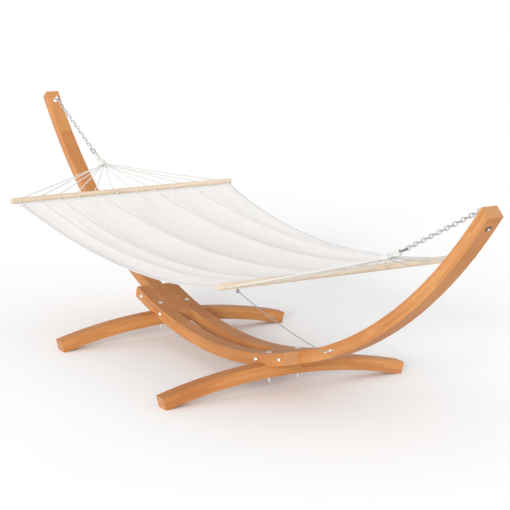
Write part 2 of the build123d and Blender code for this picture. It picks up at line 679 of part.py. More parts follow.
def make_tether_hooks():
    """The open hooks that join the tethers to the arm's screw eyes."""
    droop = radians(TETHER_HOOK_DROOP)
    along = Vector(0, -cos(droop), -sin(droop))
    hook = wire_loop(TETHER_HOOK_LENGTH, TETHER_HOOK_WIDTH, TETHER_HOOK_WIRE_RADIUS)
    block = Box(TETHER_HOOK_OPENING, 3 * TETHER_HOOK_WIRE_RADIUS, 3 * TETHER_HOOK_WIRE_RADIUS)
    hook -= Pos(TETHER_HOOK_LENGTH / 2, TETHER_HOOK_WIDTH / 2, 0) * block
    inside = ARM_EYE_RING_RADIUS - ARM_EYE_WIRE_RADIUS - TETHER_HOOK_WIRE_RADIUS - GAP
    normal = Vector(1, 0, 0).cross(along)
    return both_sides(placed(hook, arm_eye_centre() + along * inside, normal, along))


def route_radii(route):
    """The largest arc that fits each corner of a cord's route."""
    points = [Vector(*p) for p in route]
    radii = []
    for a, b, c in zip(points, points[1:], points[2:]):
        before, after = b - a, c - b
        turn = radians(before.get_angle(after))
        radii.append(0.45 * min(before.length, after.length) / tan(turn / 2))
    return radii


def make_tether(bar_eye, hook):
    """The front left tether, cut square against the eye and the hook that it is tied to."""
    radii = route_radii(TETHER_ROUTE)
    path = FilletPolyline(*TETHER_ROUTE, radius=radii)
    section = Plane(origin=path @ 0, z_dir=path % 0) * Circle(TETHER_RADIUS)
    tube = sweep(section, path=path)
    print("tether radii", [round(r) for r in radii])
    print("tether length", round(path.length, 1), "volume / section", round(tube.volume / section.area, 1))
    cut = tube - bar_eye - hook
    return cut.solids().sort_by(SortBy.VOLUME)[-1]


# --- everything -------------------------------------------------------------


def build():
    """Every node of the object: name to shape."""
    nodes = {}
    arm = make_arm()
    foot = make_foot()
    nodes["arm_front"], nodes["arm_rear"] = arm, rear(arm)
    nodes["foot_front"], nodes["foot_rear"] = foot, rear(foot)
    nodes["rail_left"], nodes["rail_right"] = make_rail(-1), make_rail(1)
    nodes["side_bolts"], nodes["side_washers"], nodes["side_nuts"] = side_fasteners()
    nodes["foot_bolts"], nodes["foot_washers"], nodes["foot_nuts"] = foot_fasteners()

    eye, washers, nut = eye_bolt_parts()
    nodes["eye_bolt_front"], nodes["eye_bolt_rear"] = eye, rear(eye)
    nodes["eye_bolt_washers"] = group(washers + [rear(w) for w in washers])
    nodes["eye_bolt_nuts"] = group([nut, rear(nut)])

    neck = make_neck()
    ends = {
        "chain": make_chain(),
        "snap_hook": make_snap_hook(),
        "snap_gate": make_gate(),
        "snap_pin": make_gate_pin(),
        "clew_ring": make_ring(),
        "clew_neck": neck,
        "neck_binding": make_binding(),
        "clew_cords": group(make_clew_cords(neck)),
        "spreader_bar": make_bar(),
        "bed_ties": make_ties(),
        "bed_eyelets": make_eyelets(),
    }
    for name, shape in ends.items():
        nodes[name + "_front"] = shape
        nodes[name + "_rear"] = rear(shape)
    nodes["bed"] = make_bed()

    bar_eyes, arm_eyes, hooks = make_bar_eyes(), make_arm_eyes(), make_tether_hooks()
    nodes["bar_eyes"] = group(bar_eyes + [rear(e) for e in bar_eyes])
    nodes["arm_eyes"] = group(arm_eyes + [rear(e) for e in arm_eyes])
    nodes["tether_hooks"] = group(hooks + [rear(h) for h in hooks])
    left, right = both_sides(make_tether(bar_eyes[0], hooks[0]))
    nodes["tether_front_left"], nodes["tether_front_right"] = left, right
    nodes["tether_rear_left"], nodes["tether_rear_right"] = rear(left), rear(right)
    return nodes


os.makedirs("parts", exist_ok=True)
for name, shape in build().items():
    export_step(shape, f"parts/{name}.step")
    print(name, "solids", len(shape.solids()), "volume", round(shape.volume))
gate_pin = on_line(HOOK_START + GATE_PIN_ALONG, -GATE_ACROSS)
print("swing axis through", on_line(CHAIN_START))
print("gate pin", gate_pin, "axis", LINE_NORMAL, "hang angle", round(degrees(HANG_ANGLE), 3))
print("stand", 2 * arc_point(ARC_OUTER_RADIUS, ARM_TOP_ANGLE).X, arc_point(ARC_INNER_RADIUS, ARM_TOP_ANGLE).Z)
print("bed arc length", round(bed_line(0).length, 1))
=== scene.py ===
from math import asin, atan2, cos, pi, radians, sin, sqrt

import bpy
import numpy as np
from mathutils import Euler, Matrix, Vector, noise


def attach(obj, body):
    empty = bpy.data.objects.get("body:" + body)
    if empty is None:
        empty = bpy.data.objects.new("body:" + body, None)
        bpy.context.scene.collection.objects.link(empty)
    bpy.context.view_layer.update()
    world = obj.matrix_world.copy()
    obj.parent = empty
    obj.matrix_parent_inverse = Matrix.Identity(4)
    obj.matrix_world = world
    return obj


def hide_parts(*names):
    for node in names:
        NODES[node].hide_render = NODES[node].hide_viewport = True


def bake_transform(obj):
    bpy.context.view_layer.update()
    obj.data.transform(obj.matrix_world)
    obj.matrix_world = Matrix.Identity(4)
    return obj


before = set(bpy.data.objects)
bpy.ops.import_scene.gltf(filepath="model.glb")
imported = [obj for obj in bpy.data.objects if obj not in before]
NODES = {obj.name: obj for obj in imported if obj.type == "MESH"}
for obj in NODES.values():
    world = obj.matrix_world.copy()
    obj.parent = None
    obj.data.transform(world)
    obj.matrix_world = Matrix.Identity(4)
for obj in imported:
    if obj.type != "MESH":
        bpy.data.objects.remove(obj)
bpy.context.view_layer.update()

ENDS = (("front", 1), ("rear", -1))

# Driving dimensions of the object, in metres, as in its CAD source. Each end is made for the front
# (+X) and mirrored for the rear.
ARC_CENTRE_Z = 2.739
ARC_INNER_RADIUS = 2.618
FOOT_CENTRE_Z = -2.1841
FOOT_RADIUS = 2.2601
BAR_X, BAR_Z, BAR_RADIUS = 1.087, 0.641, 0.0145
EYE_ANGLE = radians(48.65)
EYE_STANDOFF = 0.026
RING_RADIUS, RING_WIRE = 0.011, 0.00225
CORD_COUNT = 12
CORD_RADIUS = 0.003
CORD_PITCH = 0.106
CORD_FAN_PITCH, CORD_FAN_LAYER, CORD_FAN_STAGGER = 0.0033, 0.0032, 0.0017
CORD_MOUTH = 0.0035
CHAIN_SAG = 0.014
RING_CENTRE_AT = 0.56325
NECK_END_AT = 0.68625
BED_HALF_LENGTH = 1.067
BED_LOW_Z, BED_END_Z = 0.512, 0.636
BED_END_HALF, BED_WAIST_HALF = 0.597, 0.545
EYELET_INSET = 0.016
TETHER_RADIUS = 0.002
# Control points of the front right tether, from the eye under the bar to the hook on the arm.
TETHER_ROUTE = [
    (1.086, -0.524, 0.613),
    (1.079, -0.481, 0.576),
    (1.072, -0.437, 0.540),
    (1.064, -0.393, 0.505),
    (1.057, -0.349, 0.471),
    (1.049, -0.305, 0.438),
    (1.042, -0.261, 0.406),
    (1.034, -0.217, 0.376),
    (1.027, -0.173, 0.347),
    (1.019, -0.129, 0.319),
    (1.012, -0.084, 0.292),
]

EYE_RADIUS = ARC_INNER_RADIUS - EYE_STANDOFF
EYE = Vector((EYE_RADIUS * sin(EYE_ANGLE), 0, ARC_CENTRE_Z - EYE_RADIUS * cos(EYE_ANGLE)))
BAR = Vector((BAR_X, 0, BAR_Z))
ACROSS = Vector((0, 1, 0))
CHAIN_SLOPE = atan2(EYE.z - BAR.z, EYE.x - BAR.x) + asin(CHAIN_SAG / RING_CENTRE_AT)
RING_POINT = EYE - Vector((cos(CHAIN_SLOPE), 0, sin(CHAIN_SLOPE))) * RING_CENTRE_AT
DOWN = (BAR - RING_POINT).normalized()
NORMAL = Vector((DOWN.z, 0, -DOWN.x))
HOLE_MOUTH = BAR + Vector((BAR_RADIUS + CORD_MOUTH, 0, 0))


def on_clew(distance, across=0.0, normal=0.0):
    """A point beside the line from the front ring to the front bar, that far along from the eye."""
    return RING_POINT + DOWN * (distance - RING_CENTRE_AT) + ACROSS * across + NORMAL * normal


def cord_y(index):
    """Where a cord's hole, eyelet and knot lie across the hammock."""
    return (index - (CORD_COUNT - 1) / 2) * CORD_PITCH


def mirrored(points, sign):
    """Points of the front end, or their mirror image at the rear end."""
    return [Vector((sign * p[0], p[1], p[2])) for p in points]


# --- mesh helpers -----------------------------------------------------------


def mesh_object(name, vertices, faces, material, uvs=None, smooth=True):
    """A mesh piece from arrays of points and faces, with one material. uvs hold one pair per point."""
    mesh = bpy.data.meshes.new(name)
    mesh.from_pydata([tuple(v) for v in vertices], [], [tuple(f) for f in faces])
    if uvs is not None:
        layer = mesh.uv_layers.new(name="UVMap")
        loops = np.empty(len(mesh.loops), dtype=np.int32)
        mesh.loops.foreach_get("vertex_index", loops)
        layer.data.foreach_set("uv", np.asarray(uvs, dtype=np.float32)[loops].ravel())
    mesh.polygons.foreach_set("use_smooth", [smooth] * len(mesh.polygons))
    mesh.materials.append(material)
    mesh.update()
    piece = bpy.data.objects.new(name, mesh)
    bpy.context.collection.objects.link(piece)
    return piece


def spline_points(control, step):
    """Evenly spaced points on the NURBS spline that has those control points."""
    curve = bpy.data.curves.new("route", "CURVE")
    curve.dimensions = "3D"
    curve.resolution_u = 24
    spline = curve.splines.new("NURBS")
    spline.points.add(len(control) - 1)
    for point, place in zip(spline.points, control):
        point.co = (*place, 1.0)
    spline.order_u = 3
    spline.use_endpoint_u = True
    holder = bpy.data.objects.new("route", curve)
    bpy.context.collection.objects.link(holder)
    bpy.context.view_layer.update()
    mesh = bpy.data.meshes.new_from_object(holder)
    line = np.array([v.co for v in mesh.vertices])
    bpy.data.objects.remove(holder)
    bpy.data.curves.remove(curve)
    bpy.data.meshes.remove(mesh)
    return resampled(line, step)


def distances(line):
    """How far along the line each of its points is."""
    return np.r_[0, np.cumsum(np.linalg.norm(np.diff(line, axis=0), axis=1))]


def resampled(line, step):
    """The same line with points an even step apart."""
    lengths = distances(line)
    count = max(2, int(round(lengths[-1] / step)) + 1)
    at = np.linspace(0, lengths[-1], count)
    return np.stack([np.interp(at, lengths, line[:, k]) for k in range(3)], axis=1)


def frames_along(line, closed=False):
    """Two unit vectors square to the line at each of its points, without twist."""
    if closed:
        tangents = np.roll(line, -1, axis=0) - np.roll(line, 1, axis=0)
    else:
        tangents = np.gradient(line, axis=0)
    tangents /= np.linalg.norm(tangents, axis=1)[:, None]
    side = np.array([0.0, 0.0, 1.0]) if abs(tangents[0][2]) < 0.8 else np.array([0.0, 1.0, 0.0])
    first = np.empty_like(line)
    for i, t in enumerate(tangents):
        side = side - t * side.dot(t)
        side /= np.linalg.norm(side)
        first[i] = side
    return first, np.cross(tangents, first)


def tube_arrays(line, radius, sides=8, closed=False):
    """Points, faces and UVs of a tube round the line. U runs in metres, V round the tube."""
    first, second = frames_along(line, closed)
    angles = np.arange(sides) * 2 * pi / sides
    cosines, sines = np.cos(angles)[None, :, None], np.sin(angles)[None, :, None]
    ring = cosines * first[:, None, :] + sines * second[:, None, :]
    vertices = (line[:, None, :] + ring * radius).reshape(-1, 3)
    round_tube = np.tile(np.arange(sides) / sides, len(line))
    uvs = np.stack([np.repeat(distances(line), sides), round_tube], axis=1)
    faces = []
    spans = len(line) if closed else len(line) - 1
    for i in range(spans):
        a, b = i * sides, ((i + 1) % len(line)) * sides
        for j in range(sides):
            k = (j + 1) % sides
            faces.append((a + j, a + k, b + k, b + j))
    if not closed:
        faces.append(tuple(reversed(range(sides))))
        last = (len(line) - 1) * sides
        faces.append(tuple(last + j for j in range(sides)))
    return vertices, faces, uvs


def joined(parts):
    """Several (points, faces, UVs) as one."""
    vertices, faces, uvs, offset = [], [], [], 0
    for v, f, u in parts:
        vertices.append(v)
        uvs.append(u)
        faces.extend([tuple(i + offset for i in face) for face in f])
        offset += len(v)
    return np.concatenate(vertices), faces, np.concatenate(uvs)


def rope_arrays(line, radius, pitch=0.016, strands=3, sides=6, closed=False):
    """Laid rope: strands that wind round the line. Its outer size is the radius."""
    strand_radius = radius / 2
    offset = radius - strand_radius
    first, second = frames_along(line, closed)
    lengths = distances(line)
    if closed:                 # a whole number of turns, so that the ends meet
        total = lengths[-1] + np.linalg.norm(line[0] - line[-1])
        pitch = total / max(1, round(total / pitch))
    parts = []
    for s in range(strands):
        turn = 2 * pi * (lengths / pitch + s / strands)
        path = line + offset * (np.cos(turn)[:, None] * first + np.sin(turn)[:, None] * second)
        parts.append(tube_arrays(path, strand_radius, sides, closed))
    return joined(parts)


def piece_from(name, parts, material):
    """One piece from several (points, faces, UVs)."""
    vertices, faces, uvs = joined(parts)
    return mesh_object(name, vertices, faces, material, uvs)


# --- node helpers -----------------------------------------------------------


def feed(tree, socket, value):
    """Links a socket, or sets its value."""
    if isinstance(value, bpy.types.NodeSocket):
        tree.links.new(value, socket)
    elif value is not None:
        socket.default_value = value


def calc(tree, operation, a, b=None, c=None):
    """The result of a Math node."""
    node = tree.nodes.new("ShaderNodeMath")
    node.operation = operation
    for socket, value in zip(node.inputs, (a, b, c)):
        feed(tree, socket, value)
    return node.outputs[0]


def combine(tree, x, y, z=0.0):
    """A vector of three values."""
    node = tree.nodes.new("ShaderNodeCombineXYZ")
    for socket, value in zip(node.inputs, (x, y, z)):
        feed(tree, socket, value)
    return node.outputs[0]


def stretched(tree, values, factors, offset=None):
    """A vector of the values, each times its factor. The offset is added to the first."""
    scaled = [calc(tree, "MULTIPLY", value, factor) for value, factor in zip(values, factors)]
    if offset is not None:
        scaled[0] = calc(tree, "ADD", scaled[0], offset)
    return combine(tree, *scaled)


def place(tree, kind="Object"):
    """The three parts of a texture coordinate: by default a point's X, Y and Z in the shared frame."""
    coordinates = tree.nodes.new("ShaderNodeTexCoord")
    split = tree.nodes.new("ShaderNodeSeparateXYZ")
    tree.links.new(coordinates.outputs[kind], split.inputs[0])
    return split.outputs


def noise_value(tree, vector, scale=1.0, detail=3.0, roughness=0.5, distortion=0.0):
    """Smooth noise, mostly between 0.3 and 0.7."""
    node = tree.nodes.new("ShaderNodeTexNoise")
    feed(tree, node.inputs["Vector"], vector)
    node.inputs["Scale"].default_value = scale
    node.inputs["Detail"].default_value = detail
    node.inputs["Roughness"].default_value = roughness
    node.inputs["Distortion"].default_value = distortion
    return node.outputs["Fac"]


def random_value(tree, vector):
    """A random number from 0 to 1, one for each vector."""
    node = tree.nodes.new("ShaderNodeTexWhiteNoise")
    node.noise_dimensions = "3D"
    feed(tree, node.inputs["Vector"], vector)
    return node.outputs["Value"]


def ramp(tree, value, stops):
    """A colour that follows the value through (position, colour) stops."""
    node = tree.nodes.new("ShaderNodeValToRGB")
    elements = node.color_ramp.elements
    while len(elements) < len(stops):
        elements.new(0.5)
    for element, (position, colour) in zip(elements, stops):
        element.position = position
        element.color = (*colour, 1.0)
    feed(tree, node.inputs[0], value)
    return node.outputs[0]


def spread(tree, value, low, high, to_low, to_high):
    """The value, stretched from one range to another and held inside it."""
    node = tree.nodes.new("ShaderNodeMapRange")
    for socket, number in zip(node.inputs, (value, low, high, to_low, to_high)):
        feed(tree, socket, number)
    return node.outputs[0]


def blend_colour(tree, factor, a, b):
    """Colour a for a factor of 0, and b for 1."""
    node = tree.nodes.new("ShaderNodeMix")
    node.data_type = "RGBA"
    feed(tree, node.inputs[0], factor)
    for socket, value in ((node.inputs[6], a), (node.inputs[7], b)):
        feed(tree, socket, (*value, 1.0) if isinstance(value, tuple) else value)
    return node.outputs[2]


def bump(tree, height, strength, distance):
    """A normal that follows the height."""
    node = tree.nodes.new("ShaderNodeBump")
    node.inputs["Strength"].default_value = strength
    node.inputs["Distance"].default_value = distance
    feed(tree, node.inputs["Height"], height)
    return node.outputs[0]


def new_material(name):
    """A material with its node tree and its shader."""
    material = bpy.data.materials.new(name)
    material.use_nodes = True
    tree = material.node_tree
    return material, tree, tree.nodes["Principled BSDF"]


# --- materials --------------------------------------------------------------

LAYER = 0.014              # thickness of one lamination
STAVE = 0.43               # length of one piece of wood in a lamination
TOOTH_LENGTH = 0.016       # of the finger joints between two staves
TEETH_PER_METRE = 125.0
TIMBER_TONES = [
    (0.00, (0.34, 0.113, 0.032)),
    (0.32, (0.475, 0.196, 0.061)),
    (0.62, (0.59, 0.275, 0.095)),
    (1.00, (0.69, 0.370, 0.142)),
]
HEARTWOOD = (0.47, 0.135, 0.052)
GLUE_LINE = (0.27, 0.10, 0.035)
END_GRAIN = ((0.44, 0.205, 0.083), (0.56, 0.29, 0.128))
# How fine each pattern is along, across and through the grain.
FIBRE_SCALE = (5.0, 230.0, 230.0)
RING_SCALE = (1.6, 42.0, 42.0)
STREAK_SCALE = (3.0, 22.0, 22.0)
PORE_SCALE = (160.0, 160.0)


def bent_timber(name, along, height, centre, radius):
    """Laminated timber bent to an arc. along and height are the axes in the arc's plane, and centre
    is the height of its middle: above the timber for the beams and below it for the feet."""
    material, tree, shader = new_material(name)
    axes = place(tree)
    across = axes[1 - along]
    rise = calc(tree, "SUBTRACT", axes[height], centre)
    if centre > 0:
        rise = calc(tree, "MULTIPLY", rise, -1.0)
    depth = calc(tree, "SQRT", calc(tree, "ADD",
                 calc(tree, "MULTIPLY", axes[along], axes[along]), calc(tree, "MULTIPLY", rise, rise)))
    length = calc(tree, "MULTIPLY", calc(tree, "ARCTAN2", axes[along], rise), radius)

    layers = calc(tree, "DIVIDE", depth, LAYER)
    layer = calc(tree, "FLOOR", layers)
    in_layer = calc(tree, "FRACT", layers)
    shift = random_value(tree, combine(tree, layer, 3.1, 7.7))
    teeth = calc(tree, "PINGPONG", calc(tree, "MULTIPLY", across, TEETH_PER_METRE), 0.5)
    jagged = calc(tree, "ADD", length, calc(tree, "MULTIPLY", teeth, TOOTH_LENGTH))
    staves = calc(tree, "ADD", calc(tree, "DIVIDE", jagged, STAVE), shift)
    stave = calc(tree, "FLOOR", staves)
    in_stave = calc(tree, "FRACT", staves)
    tone = random_value(tree, combine(tree, layer, stave, 1.3))

    offset = calc(tree, "MULTIPLY", tone, 9.0)     # so that the grain breaks from stave to stave
    grain = (length, across, depth)
    fibre = noise_value(tree, stretched(tree, grain, FIBRE_SCALE, offset), detail=5.0, roughness=0.6)
    rings = noise_value(tree, stretched(tree, grain, RING_SCALE, offset), detail=2.0, distortion=0.8)
    ring_lines = calc(tree, "PINGPONG", calc(tree, "MULTIPLY", rings, 7.0), 0.5)
    streak = noise_value(tree, stretched(tree, grain, STREAK_SCALE, offset), detail=2.0)
    cloud = noise_value(tree, combine(tree, *grain), scale=3.0, detail=2.0)

    mixed = calc(tree, "ADD", calc(tree, "MULTIPLY", tone, 0.20), calc(tree, "MULTIPLY", fibre, 0.42))
    mixed = calc(tree, "ADD", mixed, calc(tree, "MULTIPLY", ring_lines, 0.20))
    mixed = calc(tree, "ADD", mixed, calc(tree, "MULTIPLY_ADD", cloud, 0.60, -0.21))
    colour = ramp(tree, mixed, TIMBER_TONES)
    colour = blend_colour(tree, spread(tree, streak, 0.50, 0.68, 0.0, 0.34), colour, HEARTWOOD)
    glue = calc(tree, "LESS_THAN", calc(tree, "PINGPONG", in_layer, 0.5), 0.022)
    joint = calc(tree, "LESS_THAN", calc(tree, "PINGPONG", in_stave, 0.5), 0.0016)
    lines = calc(tree, "MAXIMUM",
                 calc(tree, "MULTIPLY", glue, 0.20), calc(tree, "MULTIPLY", joint, 0.42))
    colour = blend_colour(tree, lines, colour, GLUE_LINE)

    # The cut ends are where the surface faces along the arc.
    facing = place(tree, "Normal")
    turn = 1.0 if centre > 0 else -1.0
    level = calc(tree, "MULTIPLY", facing[along], calc(tree, "DIVIDE", rise, depth))
    upright = calc(tree, "MULTIPLY", facing[height], calc(tree, "DIVIDE", axes[along], depth))
    endways = calc(tree, "ABSOLUTE", calc(tree, "MULTIPLY_ADD", upright, turn, level))
    end_face = calc(tree, "GREATER_THAN", endways, 0.9)
    pores = noise_value(tree, stretched(tree, (across, depth), PORE_SCALE), detail=4.0, roughness=0.7)
    end_colour = blend_colour(tree, spread(tree, pores, 0.35, 0.65, 0.0, 1.0), *END_GRAIN)
    colour = blend_colour(tree, end_face, colour, end_colour)

    feed(tree, shader.inputs["Base Color"], colour)
    feed(tree, shader.inputs["Roughness"], spread(tree, fibre, 0.3, 0.75, 0.44, 0.64))
    grooves = calc(tree, "SUBTRACT", fibre, calc(tree, "MULTIPLY", lines, 0.8))
    feed(tree, shader.inputs["Normal"], bump(tree, grooves, 0.35, 0.0006))
    shader.inputs["Specular IOR Level"].default_value = 0.22
    return material


def bar_wood():
    """Pale, straight-grained wood turned along Y."""
    material, tree, shader = new_material("bar_wood")
    axes = place(tree)
    fibre = noise_value(tree, stretched(tree, axes, (300.0, 7.0, 300.0)), detail=5.0, roughness=0.62)
    bands = noise_value(tree, stretched(tree, axes, (70.0, 2.0, 70.0)), detail=2.0, distortion=1.0)
    mixed = calc(tree, "ADD", calc(tree, "MULTIPLY", fibre, 0.6), calc(tree, "MULTIPLY", bands, 0.4))
    colour = ramp(tree, mixed, [
        (0.25, (0.46, 0.34, 0.23)),
        (0.50, (0.63, 0.51, 0.38)),
        (0.75, (0.75, 0.65, 0.53)),
    ])
    feed(tree, shader.inputs["Base Color"], colour)
    feed(tree, shader.inputs["Roughness"], spread(tree, fibre, 0.3, 0.7, 0.48, 0.66))
    feed(tree, shader.inputs["Normal"], bump(tree, fibre, 0.3, 0.0004))
    return material


def metal(name, bright, dull, rough_low, rough_high, scale):
    """Plated steel with faint mottling and handling marks."""
    material, tree, shader = new_material(name)
    axes = place(tree)
    vector = combine(tree, *axes)
    patches = noise_value(tree, vector, scale=scale, detail=4.0, roughness=0.6)
    scratches = noise_value(tree, vector, scale=scale * 9, detail=2.0)
    feed(tree, shader.inputs["Base Color"], ramp(tree, patches, [(0.35, dull), (0.62, bright)]))
    shader.inputs["Metallic"].default_value = 1.0
    feed(tree, shader.inputs["Roughness"], spread(tree, patches, 0.3, 0.7, rough_high, rough_low))
    feed(tree, shader.inputs["Normal"], bump(tree, scratches, 0.12, 0.0002))
    return material


THREAD = 0.0016            # spacing of the canvas threads
CANVAS_TONES = [
    (0.30, (0.640, 0.613, 0.590)),
    (0.55, (0.711, 0.686, 0.666)),
    (0.80, (0.757, 0.733, 0.714)),
]


def canvas(name, shade=1.0):
    """Plain-woven cotton canvas: threads along X and Y, with thicker slubs here and there."""
    material, tree, shader = new_material(name)
    x, y, z = place(tree)
    warp = calc(tree, "MULTIPLY", y, 2 * pi / THREAD)
    weft = calc(tree, "MULTIPLY", x, 2 * pi / THREAD)
    over = calc(tree, "MULTIPLY", calc(tree, "SINE", warp), calc(tree, "SINE", weft))
    ridge = calc(tree, "MULTIPLY", calc(tree, "COSINE", calc(tree, "MULTIPLY", warp, 2.0)), 0.35)
    slub_x = noise_value(tree, stretched(tree, (x, y), (9.0, 520.0)), detail=2.0)
    slub_y = noise_value(tree, stretched(tree, (x, y, 4.0), (520.0, 9.0, 1.0)), detail=2.0)
    slubs = calc(tree, "ADD", slub_x, slub_y)
    cloud = noise_value(tree, combine(tree, x, y, z), scale=2.6, detail=3.0)
    value = calc(tree, "MULTIPLY_ADD", cloud, 0.35, calc(tree, "MULTIPLY", over, 0.06))
    value = calc(tree, "MULTIPLY_ADD", slubs, 0.45, value)
    tones = [(at, tuple(c * shade for c in colour)) for at, colour in CANVAS_TONES]
    feed(tree, shader.inputs["Base Color"], ramp(tree, value, tones))
    feed(tree, shader.inputs["Roughness"], spread(tree, slubs, 0.7, 1.3, 0.84, 0.95))
    height = calc(tree, "ADD", calc(tree, "ADD", over, ridge), calc(tree, "MULTIPLY", slubs, 1.4))
    feed(tree, shader.inputs["Normal"], bump(tree, height, 0.45, 0.0004))
    shader.inputs["Sheen Weight"].default_value = 0.12
    shader.inputs["Sheen Roughness"].default_value = 0.5
    shader.inputs["Specular IOR Level"].default_value = 0.2
    shader.inputs["Subsurface Weight"].default_value = 0.6
    shader.inputs["Subsurface Scale"].default_value = 0.012
    shader.inputs["Subsurface Radius"].default_value = (1.0, 0.9, 0.8)
    return material


def spun_cord(name, light, dark, fibre_pitch):
    """Cotton yarn: fine fibres that wind round each strand. It reads the piece's own UVs."""
    material, tree, shader = new_material(name)
    u, v, _ = place(tree, "UV")
    slant = calc(tree, "ADD", calc(tree, "DIVIDE", u, fibre_pitch), v)
    fibres = calc(tree, "PINGPONG", calc(tree, "MULTIPLY", slant, 4.0), 0.5)
    fuzz = noise_value(tree, stretched(tree, (u, v), (900.0, 14.0)), detail=3.0)
    value = calc(tree, "MULTIPLY_ADD", fibres, 0.8, calc(tree, "MULTIPLY", fuzz, 0.6))
    feed(tree, shader.inputs["Base Color"], ramp(tree, value, [(0.15, dark), (0.7, light)]))
    feed(tree, shader.inputs["Roughness"], spread(tree, fuzz, 0.3, 0.7, 0.82, 0.95))
    feed(tree, shader.inputs["Normal"], bump(tree, value, 0.5, 0.0004))
    shader.inputs["Sheen Weight"].default_value = 0.15
    shader.inputs["Specular IOR Level"].default_value = 0.2
    return material


def floor_material():
    """Matt, almost white, with faint wide patches."""
    material, tree, shader = new_material("floor")
    axes = place(tree)
    patches = noise_value(tree, combine(tree, *axes), scale=0.7, detail=3.0)
    colour = ramp(tree, patches, [(0.3, (0.94, 0.94, 0.94)), (0.7, (0.96, 0.96, 0.96))])
    feed(tree, shader.inputs["Base Color"], colour)
    shader.inputs["Roughness"].default_value = 0.9
    shader.inputs["Specular IOR Level"].default_value = 0.1
    return material


BEAM_TIMBER = bent_timber("beam_timber", 0, 2, ARC_CENTRE_Z, ARC_INNER_RADIUS)
FOOT_TIMBER = bent_timber("foot_timber", 1, 2, FOOT_CENTRE_Z, FOOT_RADIUS)
BAR_WOOD = bar_wood()
ZINC = metal("zinc", (0.92, 0.92, 0.92), (0.76, 0.76, 0.77), 0.22, 0.40, 120.0)
CHAIN_STEEL = metal("chain_steel", (0.74, 0.74, 0.75), (0.54, 0.54, 0.55), 0.28, 0.5, 160.0)
# Dark steel for the snap. On the eye bolts' nuts it stands for painted shade in their recesses.
DARK_STEEL_AND_RECESS_SHADE = metal("dark_steel_and_recess_shade", (0.34, 0.34, 0.35), (0.20, 0.20, 0.21), 0.3, 0.5, 160.0)
BLACK_STEEL = metal("black_steel", (0.10, 0.10, 0.105), (0.05, 0.05, 0.055), 0.35, 0.5, 160.0)
CANVAS = canvas("canvas")
HEM_CANVAS = canvas("hem_canvas", 0.95)
COTTON = spun_cord("cotton_cord", (0.74, 0.73, 0.70), (0.50, 0.485, 0.45), 0.006)
THREAD_COTTON = spun_cord("sewing_thread", (0.86, 0.85, 0.80), (0.66, 0.64, 0.58), 0.002)
TETHER = spun_cord("tether_cord", (0.33, 0.33, 0.33), (0.21, 0.21, 0.21), 0.004)


def paint_cad_nodes():
    """Gives every CAD node its material, by how its name starts. The rest is zinc-plated."""
    by_name = {
        "arm_front": BEAM_TIMBER,
        "arm_rear": BEAM_TIMBER,
        "rail": BEAM_TIMBER,
        "foot_front": FOOT_TIMBER,
        "foot_rear": FOOT_TIMBER,
        "spreader_bar": BAR_WOOD,
        "chain": CHAIN_STEEL,
        "snap": DARK_STEEL_AND_RECESS_SHADE,
        "clew_ring": CHAIN_STEEL,
        "bar_eyes": BLACK_STEEL,
        # The nuts are zinc-plated like the bolts. This dark steel on them is painted shade for the
        # recesses they sit in.
        "eye_bolt_nuts": DARK_STEEL_AND_RECESS_SHADE,
    }
    for name, node in NODES.items():
        choices = [material for start, material in by_name.items() if name.startswith(start)]
        node.data.materials.clear()
        node.data.materials.append(choices[0] if choices else ZINC)


# --- bed --------------------------------------------------------------------

FABRIC_THICKNESS = 0.0016
EYELET_X = BED_HALF_LENGTH - EYELET_INSET
SCALLOP = 0.004            # how far the end draws back between two eyelets
HEM_WIDTH, HEM_PROUD = 0.034, 0.0034
SIDE_HEM_WIDTH, SIDE_HEM_PROUD = 0.026, 0.0052
# Long folds: where each ridge starts at the rear end and where it ends at the front.
FOLDS = [(-0.46, -0.35), (-0.355, -0.235), (-0.13, 0.06), (0.165, 0.375), (0.378, 0.565)]
FOLD_DEPTH = 0.075         # depth of a trough over its width
FOLD_SKEW = 0.85           # moves each trough's lowest line toward its left edge
BAY_DEPTH = 0.0022         # sag of the cloth between two eyelets
PLEAT_DEPTH = 0.0045       # of the narrow crease beside each ridge
PLEAT_WIDTH = 0.010
CREASE_DEPTH = 0.0022
CREASE_SCALE = (2.2, 11.0)


def smooth_step(value, low, high):
    """0 below low, 1 above high, and a smooth rise between."""
    t = np.clip((value - low) / (high - low), 0, 1)
    return t * t * (3 - 2 * t)


def half_width(x):
    """Half the cloth's width, narrower at the waist."""
    return BED_WAIST_HALF + (BED_END_HALF - BED_WAIST_HALF) * (x / BED_HALF_LENGTH) ** 2


def trough(y, edges):
    """0 on each edge, and -1 in the middle between two of them."""
    depth = np.zeros_like(y)
    for low, high in zip(edges, edges[1:]):
        inside = (y >= low) & (y <= high)
        t = np.clip((y - low) / (high - low), 0, 1)
        depth = np.where(inside, -4 * t * (1 - t), depth)
    return depth


EYELET_YS = [cord_y(i) for i in range(CORD_COUNT)]
BED_SLOPE = atan2(2 * (BED_END_Z - BED_LOW_Z), BED_HALF_LENGTH)
EYELET_AXIS = Vector((-sin(BED_SLOPE), 0, cos(BED_SLOPE)))
EYELET_OPENING = 0.0052


def end_recess(y):
    """How far the cloth's end draws back between the eyelets."""
    depth = trough(y, [-BED_END_HALF - 0.02, *EYELET_YS, BED_END_HALF + 0.02])
    return SCALLOP * np.sqrt(np.clip(-depth, 0, 1) * (2 + depth))


def sag(x):
    """Height of the cloth's middle line."""
    return BED_LOW_Z + (BED_END_Z - BED_LOW_Z) * (x / BED_HALF_LENGTH) ** 2


EYELET = Vector((EYELET_X, 0, sag(EYELET_X)))


